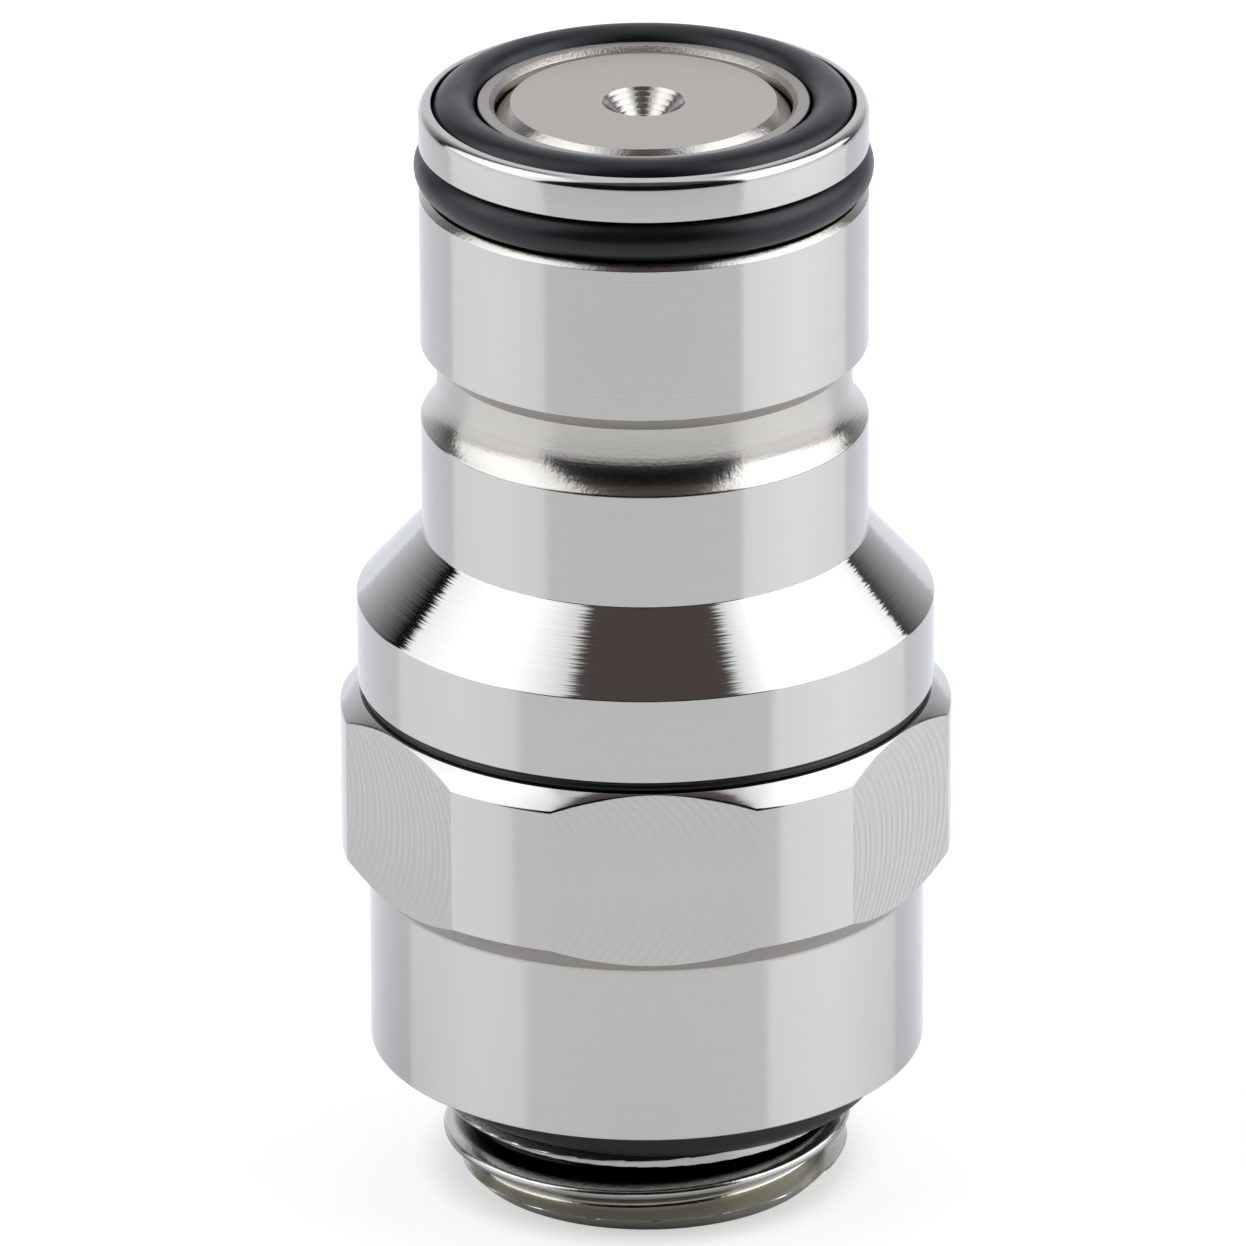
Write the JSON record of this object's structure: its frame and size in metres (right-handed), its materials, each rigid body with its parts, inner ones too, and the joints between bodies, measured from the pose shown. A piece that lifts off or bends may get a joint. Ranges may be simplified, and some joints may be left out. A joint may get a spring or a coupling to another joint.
{
  "type": "liquid cooling quick coupling",
  "caption": "Turned quick coupling plug with a threaded port, wrench hexagon, ball-lock groove, rubber seals and a sprung flat-face valve in its nose.",
  "frame": {"origin": "centre of the threaded end face, where the part stands", "axes": "+Z along the flow axis towards the nose; -Y out of one flat of the wrench hexagon"},
  "size_m": [0.0196, 0.0184, 0.0369],
  "materials": {
    "nickel_plate": "polished nickel plate on turned brass",
    "valve_nickel": "dull nickel plate on turned brass",
    "seal_rubber": "black moulded rubber, satin",
    "spring_steel": "drawn stainless spring wire",
    "guide_brass": "turned brass"
  },
  "bodies": {
    "housing": {"port_adapter": "nickel_plate", "port_seal": "seal_rubber", "joint_gasket": "seal_rubber", "plug_body": "nickel_plate", "barrel_seal": "seal_rubber", "face_seal": "seal_rubber", "stem_guide": "guide_brass", "valve_spring": "spring_steel"},
    "valve": {"valve_poppet": "valve_nickel", "valve_seal": "seal_rubber"}
  },
  "joints": [
    {"name": "valve_slide", "type": "slide", "parent": "housing", "child": "valve", "axis": [0, 0, -1], "range_m": [0, 0.004], "stiffness_N_per_m": 1500, "springref_m": -0.003, "deforming": ["valve_spring"]}
  ]
}
